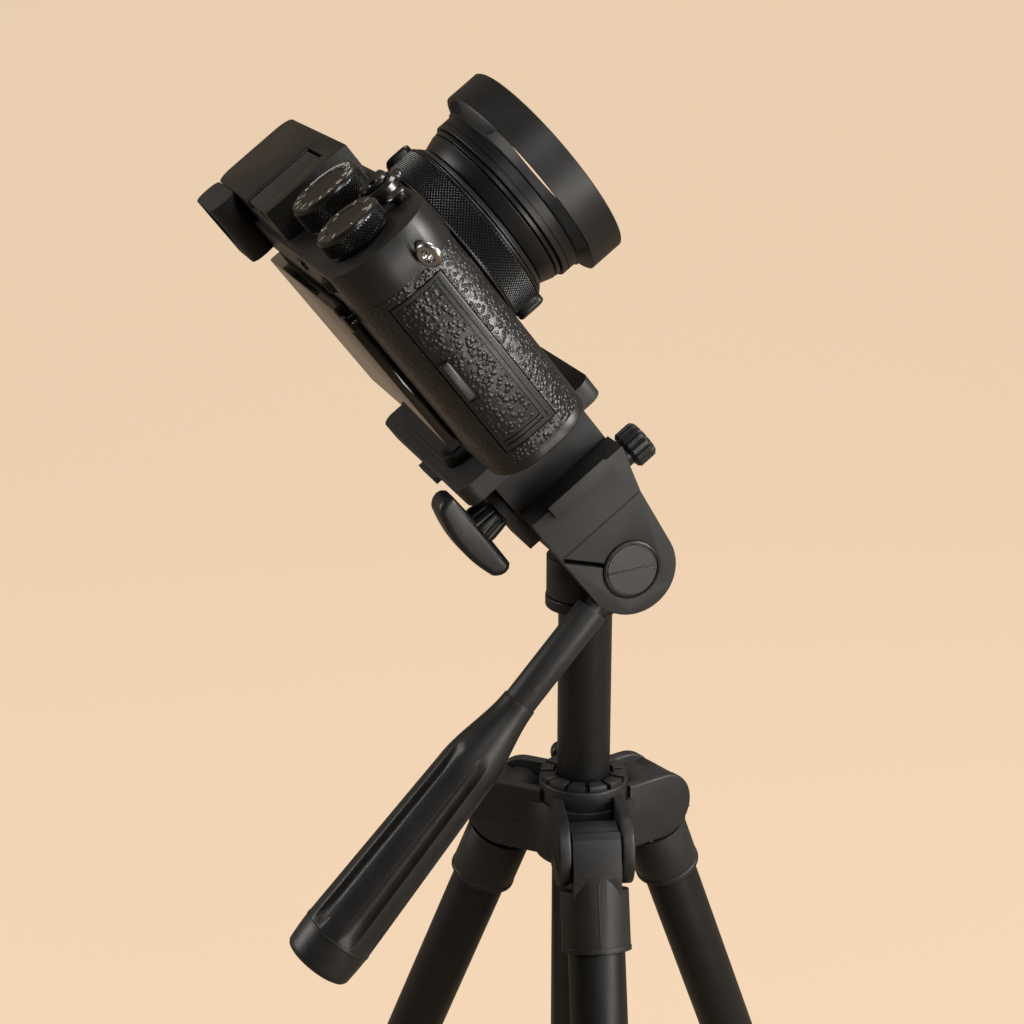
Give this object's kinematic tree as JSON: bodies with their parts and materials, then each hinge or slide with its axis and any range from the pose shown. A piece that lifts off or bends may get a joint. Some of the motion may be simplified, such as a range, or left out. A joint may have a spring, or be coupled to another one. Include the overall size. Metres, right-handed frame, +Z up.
{
  "type": "compact camera on a tripod",
  "caption": "Rangefinder-style compact camera with a vented lens hood, on a three-way pan head and a small folding tripod with extending legs.",
  "frame": {"origin": "on the floor, at the bottom centre of the whole object's box", "axes": "+Z up along the column; the camera is aimed along +X and raised by 38 degrees, its right-hand side faces -Y"},
  "size_m": [0.2394, 0.2364, 0.4812],
  "materials": {
    "crown_plastic": "fine moulded texture",
    "leg_paint": "satin black anodised tube",
    "lower_leg_paint": "satin black anodised tube",
    "foot_rubber": "matt rubber",
    "column_paint": "satin black anodised tube",
    "head_plastic": "fine moulded texture",
    "knob_plastic": "satin moulded",
    "pin_plastic": "scuffed gloss cap",
    "handle_paint": "satin black tube",
    "grip_plastic": "fine moulded texture",
    "plate_metal": "black anodised",
    "pad_rubber": "matt rubber",
    "bright_steel": "polished",
    "camera_paint": "semi-matt black paint",
    "body_plastic": "matt",
    "camera_leather": "pebbled leatherette",
    "door_plastic": "matt with leatherette inlay",
    "battery_wrap": "matt film",
    "circuit_board": "solder mask",
    "screen_glass": "polished glass front",
    "control_metal": "knurled, satin black",
    "button_gloss": "gloss black",
    "eyecup_rubber": "soft matt rubber",
    "optical_glass": "coated",
    "lens_metal": "semi-gloss black anodised",
    "hood_paint": "semi-matt black"
  },
  "bodies": {
    "crown": {"crown": "crown_plastic", "centre_tube": "leg_paint", "column_bushing": "crown_plastic"},
    "leg_1": {"leg_knuckle_1": "crown_plastic", "leg_upper_tube_1": "leg_paint"},
    "leg_collar_1": {"leg_lock_collar_1": "crown_plastic"},
    "lower_leg_1": {"leg_lower_tube_1": "lower_leg_paint", "leg_foot_1": "foot_rubber"},
    "leg_2": {"leg_knuckle_2": "crown_plastic", "leg_upper_tube_2": "leg_paint"},
    "leg_collar_2": {"leg_lock_collar_2": "crown_plastic"},
    "lower_leg_2": {"leg_lower_tube_2": "lower_leg_paint", "leg_foot_2": "foot_rubber"},
    "leg_3": {"leg_knuckle_3": "crown_plastic", "leg_upper_tube_3": "leg_paint"},
    "leg_collar_3": {"leg_lock_collar_3": "crown_plastic"},
    "lower_leg_3": {"leg_lower_tube_3": "lower_leg_paint", "leg_foot_3": "foot_rubber"},
    "column": {"column": "column_paint", "column_end_cap": "crown_plastic"},
    "column_knob": {"column_lock_knob": "knob_plastic"},
    "neck": {"neck": "head_plastic", "tilt_pin": "pin_plastic"},
    "tilt_block": {"tilt_block": "head_plastic"},
    "handle": {"handle_rod": "handle_paint", "handle_grip": "grip_plastic"},
    "side_tilt_knob": {"side_tilt_knob": "knob_plastic"},
    "friction_knob": {"tilt_friction_knob": "knob_plastic"},
    "camera": {"platform": "head_plastic", "quick_plate": "plate_metal", "plate_pad": "pad_rubber", "camera_screw": "bright_steel", "body_shell": "body_plastic", "top_cover": "camera_paint", "base_plate": "camera_paint", "hot_shoe": "camera_paint", "leather_band": "camera_leather", "battery": "battery_wrap", "sensor_board": "circuit_board", "rear_screen": "screen_glass", "eyecup": "eyecup_rubber", "finder_optics": "optical_glass", "strap_lugs": "bright_steel", "lens_barrel": "lens_metal", "lens_elements": "optical_glass", "hood_adapter": "lens_metal"},
    "plate_lever": {"plate_lever": "head_plastic"},
    "terminal_door": {"terminal_door": "door_plastic"},
    "battery_door": {"battery_door": "door_plastic"},
    "quick_button": {"quick_button": "button_gloss"},
    "joystick": {"joystick": "button_gloss"},
    "command_wheel": {"command_wheel": "control_metal"},
    "shutter_dial": {"shutter_dial": "control_metal"},
    "exposure_dial": {"exposure_dial": "control_metal"},
    "shutter_button": {"shutter_button": "button_gloss"},
    "power_lever": {"power_lever": "control_metal"},
    "function_button": {"function_button": "button_gloss"},
    "aperture_ring": {"aperture_ring": "lens_metal"},
    "focus_ring": {"focus_ring": "lens_metal"},
    "hood": {"hood": "hood_paint"}
  },
  "joints": [
    {"name": "leg_fold_1", "type": "hinge", "parent": "crown", "child": "leg_1", "pos_m": [0.00563, 0.02506, 0.27074], "axis": [0.284, -0.9588, 0], "range_deg": [-20, 0]},
    {"name": "leg_extend_1", "type": "slide", "parent": "leg_1", "child": "lower_leg_1", "axis": [0.3592, 0.1064, -0.9272], "range_m": [0, 0.15]},
    {"name": "leg_lock_1", "type": "hinge", "parent": "leg_1", "child": "leg_collar_1", "pos_m": [0.00563, 0.02506, 0.27074], "axis": [0.3592, 0.1064, -0.9272], "range_deg": [0, 90]},
    {"name": "leg_fold_2", "type": "hinge", "parent": "crown", "child": "leg_2", "pos_m": [-0.03142, 0.03396, 0.27074], "axis": [0.6884, 0.7254, 0], "range_deg": [-20, 0]},
    {"name": "leg_extend_2", "type": "slide", "parent": "leg_2", "child": "lower_leg_2", "axis": [-0.2717, 0.2579, -0.9272], "range_m": [0, 0.15]},
    {"name": "leg_lock_2", "type": "hinge", "parent": "leg_2", "child": "leg_collar_2", "pos_m": [-0.03142, 0.03396, 0.27074], "axis": [-0.2717, 0.2579, -0.9272], "range_deg": [0, 90]},
    {"name": "leg_fold_3", "type": "hinge", "parent": "crown", "child": "leg_3", "pos_m": [-0.0206, -0.00258, 0.27074], "axis": [-0.9724, 0.2334, 0], "range_deg": [-20, 0]},
    {"name": "leg_extend_3", "type": "slide", "parent": "leg_3", "child": "lower_leg_3", "axis": [-0.0875, -0.3643, -0.9272], "range_m": [0, 0.15]},
    {"name": "leg_lock_3", "type": "hinge", "parent": "leg_3", "child": "leg_collar_3", "pos_m": [-0.0206, -0.00258, 0.27074], "axis": [-0.0875, -0.3643, -0.9272], "range_deg": [0, 90]},
    {"name": "column_rise", "type": "slide", "parent": "crown", "child": "column", "axis": [0, 0, 1], "range_m": [-0.035, 0.06]},
    {"name": "column_lock", "type": "hinge", "parent": "crown", "child": "column_knob", "pos_m": [-0.01547, 0.01881, 0.28024], "axis": [0.2334, 0.9724, 0], "range_deg": [0, 270]},
    {"name": "pan", "type": "hinge", "parent": "column", "child": "neck", "pos_m": [-0.01547, 0.01881, 0.35174], "axis": [0, 0, 1], "continuous": true},
    {"name": "tilt", "type": "hinge", "parent": "neck", "child": "tilt_block", "pos_m": [-0.00997, 0.01881, 0.35174], "axis": [0, -1, 0], "range_deg": [-98, 12]},
    {"name": "handle_twist", "type": "hinge", "parent": "tilt_block", "child": "handle", "pos_m": [-0.00997, 0.00241, 0.35174], "axis": [-0.6481, 0, -0.7615], "range_deg": [0, 180]},
    {"name": "side_tilt", "type": "hinge", "parent": "tilt_block", "child": "camera", "pos_m": [-0.02874, 0.01881, 0.37577], "axis": [-0.788, 0, -0.6157], "range_deg": [0, 90]},
    {"name": "side_tilt_lock", "type": "hinge", "parent": "tilt_block", "child": "side_tilt_knob", "pos_m": [-0.0445, 0.01881, 0.36346], "axis": [-0.788, 0, -0.6157], "range_deg": [0, 180]},
    {"name": "tilt_friction", "type": "hinge", "parent": "tilt_block", "child": "friction_knob", "pos_m": [-0.00677, 0.01281, 0.38013], "axis": [0.788, 0, 0.6157], "range_deg": [0, 270]},
    {"name": "plate_release", "type": "hinge", "parent": "camera", "child": "plate_lever", "pos_m": [-0.05001, 0.04481, 0.37375], "axis": [0.6157, 0, -0.788], "range_deg": [0, 35]},
    {"name": "terminal_door_open", "type": "hinge", "parent": "camera", "child": "terminal_door", "pos_m": [-0.05654, -0.03119, 0.42321], "axis": [-0.6157, 0, 0.788], "range_deg": [0, 95]},
    {"name": "battery_door_open", "type": "hinge", "parent": "camera", "child": "battery_door", "pos_m": [-0.04414, -0.02719, 0.39547], "axis": [-0.788, 0, -0.6157], "range_deg": [0, 85]},
    {"name": "shutter_dial_turn", "type": "hinge", "parent": "camera", "child": "shutter_dial", "pos_m": [-0.08672, 0.01481, 0.4542], "axis": [-0.6157, 0, 0.788], "range_deg": [-150, 150]},
    {"name": "exposure_dial_turn", "type": "hinge", "parent": "camera", "child": "exposure_dial", "pos_m": [-0.08972, -0.01399, 0.45186], "axis": [-0.6157, 0, 0.788], "range_deg": [-110, 110]},
    {"name": "power_switch", "type": "hinge", "parent": "camera", "child": "power_lever", "pos_m": [-0.07764, 0.00031, 0.45622], "axis": [0.6157, 0, -0.788], "range_deg": [0, 40]},
    {"name": "command_wheel_turn", "type": "hinge", "parent": "camera", "child": "command_wheel", "pos_m": [-0.09097, -0.01119, 0.4382], "axis": [-0.6157, 0, 0.788], "continuous": true},
    {"name": "aperture_turn", "type": "hinge", "parent": "camera", "child": "aperture_ring", "pos_m": [-0.05115, 0.02831, 0.43694], "axis": [0.788, 0, 0.6157], "range_deg": [-45, 45]},
    {"name": "focus_turn", "type": "hinge", "parent": "camera", "child": "focus_ring", "pos_m": [-0.04327, 0.02831, 0.4431], "axis": [0.788, 0, 0.6157], "range_deg": [-70, 70]},
    {"name": "hood_twist", "type": "hinge", "parent": "camera", "child": "hood", "pos_m": [-0.02751, 0.02831, 0.45541], "axis": [0.788, 0, 0.6157], "range_deg": [0, 30]},
    {"name": "shutter_press", "type": "slide", "parent": "camera", "child": "shutter_button", "axis": [0.6157, 0, -0.788], "range_m": [0, 0.0008], "stiffness_N_per_m": 400, "springref_m": -0.002},
    {"name": "function_press", "type": "slide", "parent": "camera", "child": "function_button", "axis": [0.6157, 0, -0.788], "range_m": [0, 0.0004], "stiffness_N_per_m": 400, "springref_m": -0.002},
    {"name": "quick_press", "type": "slide", "parent": "camera", "child": "quick_button", "axis": [0.788, 0, 0.6157], "range_m": [0, 0.0005], "stiffness_N_per_m": 400, "springref_m": -0.002},
    {"name": "joystick_press", "type": "slide", "parent": "camera", "child": "joystick", "axis": [0.788, 0, 0.6157], "range_m": [0, 0.0003], "stiffness_N_per_m": 400, "springref_m": -0.002}
  ]
}
